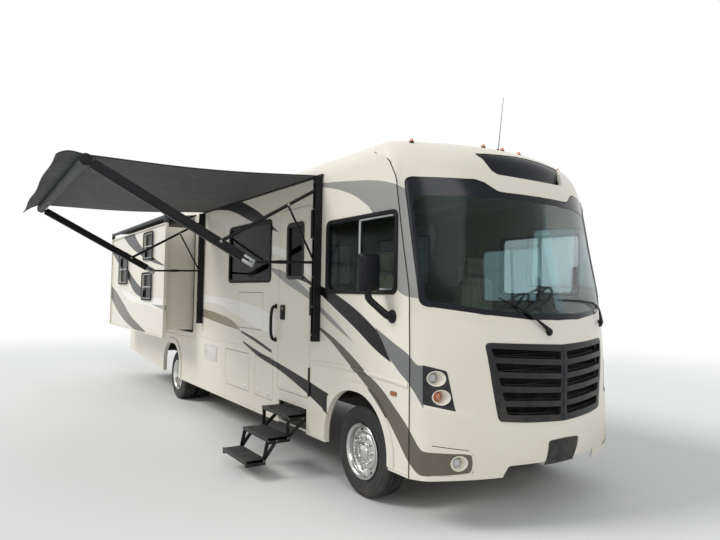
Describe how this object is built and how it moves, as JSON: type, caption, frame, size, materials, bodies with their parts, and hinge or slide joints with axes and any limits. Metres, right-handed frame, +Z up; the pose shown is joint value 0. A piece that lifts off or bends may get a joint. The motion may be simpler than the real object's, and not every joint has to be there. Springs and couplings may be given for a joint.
{
  "type": "motorhome",
  "caption": "Flat-fronted motorhome on twin rear wheels, with entry steps, side awning and slide-out room open, hinged doors and lockers, steered front wheels",
  "frame": {"origin": "middle of the whole outline, awning included, on the ground", "axes": "+X forward, +Y to the driver's side, +Z up"},
  "size_m": [10.53, 5.2906, 3.8904],
  "materials": {
    "body_paint": "gloss warm off-white",
    "charcoal": "satin charcoal",
    "black_metal": "satin black",
    "tinted_glass": "dark tinted",
    "clear_glass": "clear",
    "lamp_lens": "clear lens",
    "amber_lens": "amber and red lens",
    "chrome": "polished",
    "tyre": "matte",
    "steel": "plain",
    "cast": "rough",
    "deck": "laminated",
    "interior": "satin tan",
    "seat": "tan",
    "awning_fabric": "woven grey",
    "white_plastic": "white",
    "rubber": "matte",
    "aluminium": "satin"
  },
  "bodies": {
    "coach": {"front_cap": "body_paint", "windshield": "clear_glass", "grille": "charcoal", "cap_inserts": "charcoal", "front_lamps": "lamp_lens", "left_wall": "body_paint", "right_wall": "body_paint", "service_panel": "white_plastic", "topper_cloth": "awning_fabric", "window_frames": "black_metal", "window_panes": "tinted_glass", "roof": "white_plastic", "rear_wall": "body_paint", "floor": "deck", "stairwell": "deck", "lockers": "black_metal", "chassis_rails": "black_metal", "outriggers": "black_metal", "hitch": "black_metal", "engine": "cast", "drive_line": "steel", "tanks": "charcoal", "front_axle": "cast", "rear_axle": "cast", "leaf_springs": "black_metal", "awning_channels": "black_metal", "awning_arms": "black_metal", "awning_roller": "aluminium", "awning_cloth": "awning_fabric", "entry_steps": "black_metal", "mirrors": "charcoal", "wipers": "black_metal", "marker_lamps": "amber_lens", "roof_units": "white_plastic", "ladder": "aluminium", "dash": "interior", "seat_bases": "black_metal", "seat_cushions": "seat", "steering_wheel": "charcoal", "grab_handle": "black_metal"},
    "slide_out": {"slide_room": "body_paint", "slide_fascia": "body_paint", "slide_panes": "tinted_glass", "topper_roller": "black_metal"},
    "entry_door": {"entry_door": "body_paint", "entry_door_pane": "tinted_glass"},
    "front_locker_door": {"front_locker_door": "body_paint"},
    "rear_locker_door": {"rear_locker_door": "body_paint"},
    "tv_hatch": {"tv_hatch": "body_paint"},
    "left_locker_door": {"left_locker_door": "body_paint"},
    "knuckle_left": {"knuckle_left": "cast"},
    "knuckle_right": {"knuckle_right": "cast"},
    "front_wheel_left": {"front_tyre_left": "tyre", "front_rim_left": "chrome"},
    "front_wheel_right": {"front_tyre_right": "tyre", "front_rim_right": "chrome"},
    "rear_wheels_left": {"rear_tyres_left": "tyre", "rear_rims_left": "chrome"},
    "rear_wheels_right": {"rear_tyres_right": "tyre", "rear_rims_right": "chrome"}
  },
  "joints": [
    {"name": "steer_left", "type": "hinge", "parent": "coach", "child": "knuckle_left", "pos_m": [3.919, 1.9947, 0.4195], "axis": [0, 0, 1], "range_deg": [-40, 40]},
    {"name": "steer_right", "type": "hinge", "parent": "coach", "child": "knuckle_right", "pos_m": [3.919, 0.1947, 0.4195], "axis": [0, 0, 1], "range_deg": [-40, 40]},
    {"name": "front_wheel_left_spin", "type": "hinge", "parent": "knuckle_left", "child": "front_wheel_left", "pos_m": [3.919, 2.1608, 0.4195], "axis": [0, 1, 0], "continuous": true},
    {"name": "front_wheel_right_spin", "type": "hinge", "parent": "knuckle_right", "child": "front_wheel_right", "pos_m": [3.919, 0.0287, 0.4195], "axis": [0, 1, 0], "continuous": true},
    {"name": "rear_wheels_left_spin", "type": "hinge", "parent": "coach", "child": "rear_wheels_left", "pos_m": [-1.871, 2.0248, 0.4195], "axis": [0, 1, 0], "continuous": true},
    {"name": "rear_wheels_right_spin", "type": "hinge", "parent": "coach", "child": "rear_wheels_right", "pos_m": [-1.871, 0.1647, 0.4195], "axis": [0, 1, 0], "continuous": true},
    {"name": "entry_door_swing", "type": "hinge", "parent": "coach", "child": "entry_door", "pos_m": [3.059, -0.1878, 1.8], "axis": [0, 0, 1], "range_deg": [0, 90]},
    {"name": "slide_out_run", "type": "slide", "parent": "coach", "child": "slide_out", "axis": [0, 1, 0], "range_m": [0, 0.43]},
    {"name": "front_locker_door_lift", "type": "hinge", "parent": "coach", "child": "front_locker_door", "pos_m": [1.905, -0.1878, 1.112], "axis": [-1, 0, 0], "range_deg": [0, 95]},
    {"name": "rear_locker_door_lift", "type": "hinge", "parent": "coach", "child": "rear_locker_door", "pos_m": [1.0415, -0.1878, 1.1], "axis": [-1, 0, 0], "range_deg": [0, 95]},
    {"name": "tv_hatch_lift", "type": "hinge", "parent": "coach", "child": "tv_hatch", "pos_m": [1.4455, -0.1878, 1.888], "axis": [-1, 0, 0], "range_deg": [0, 95]},
    {"name": "left_locker_door_lift", "type": "hinge", "parent": "coach", "child": "left_locker_door", "pos_m": [1.0415, 2.3773, 1.1], "axis": [1, 0, 0], "range_deg": [0, 95]}
  ],
  "couplings": [
    {"joint": "steer_right", "follows": "steer_left", "ratio": 1}
  ]
}
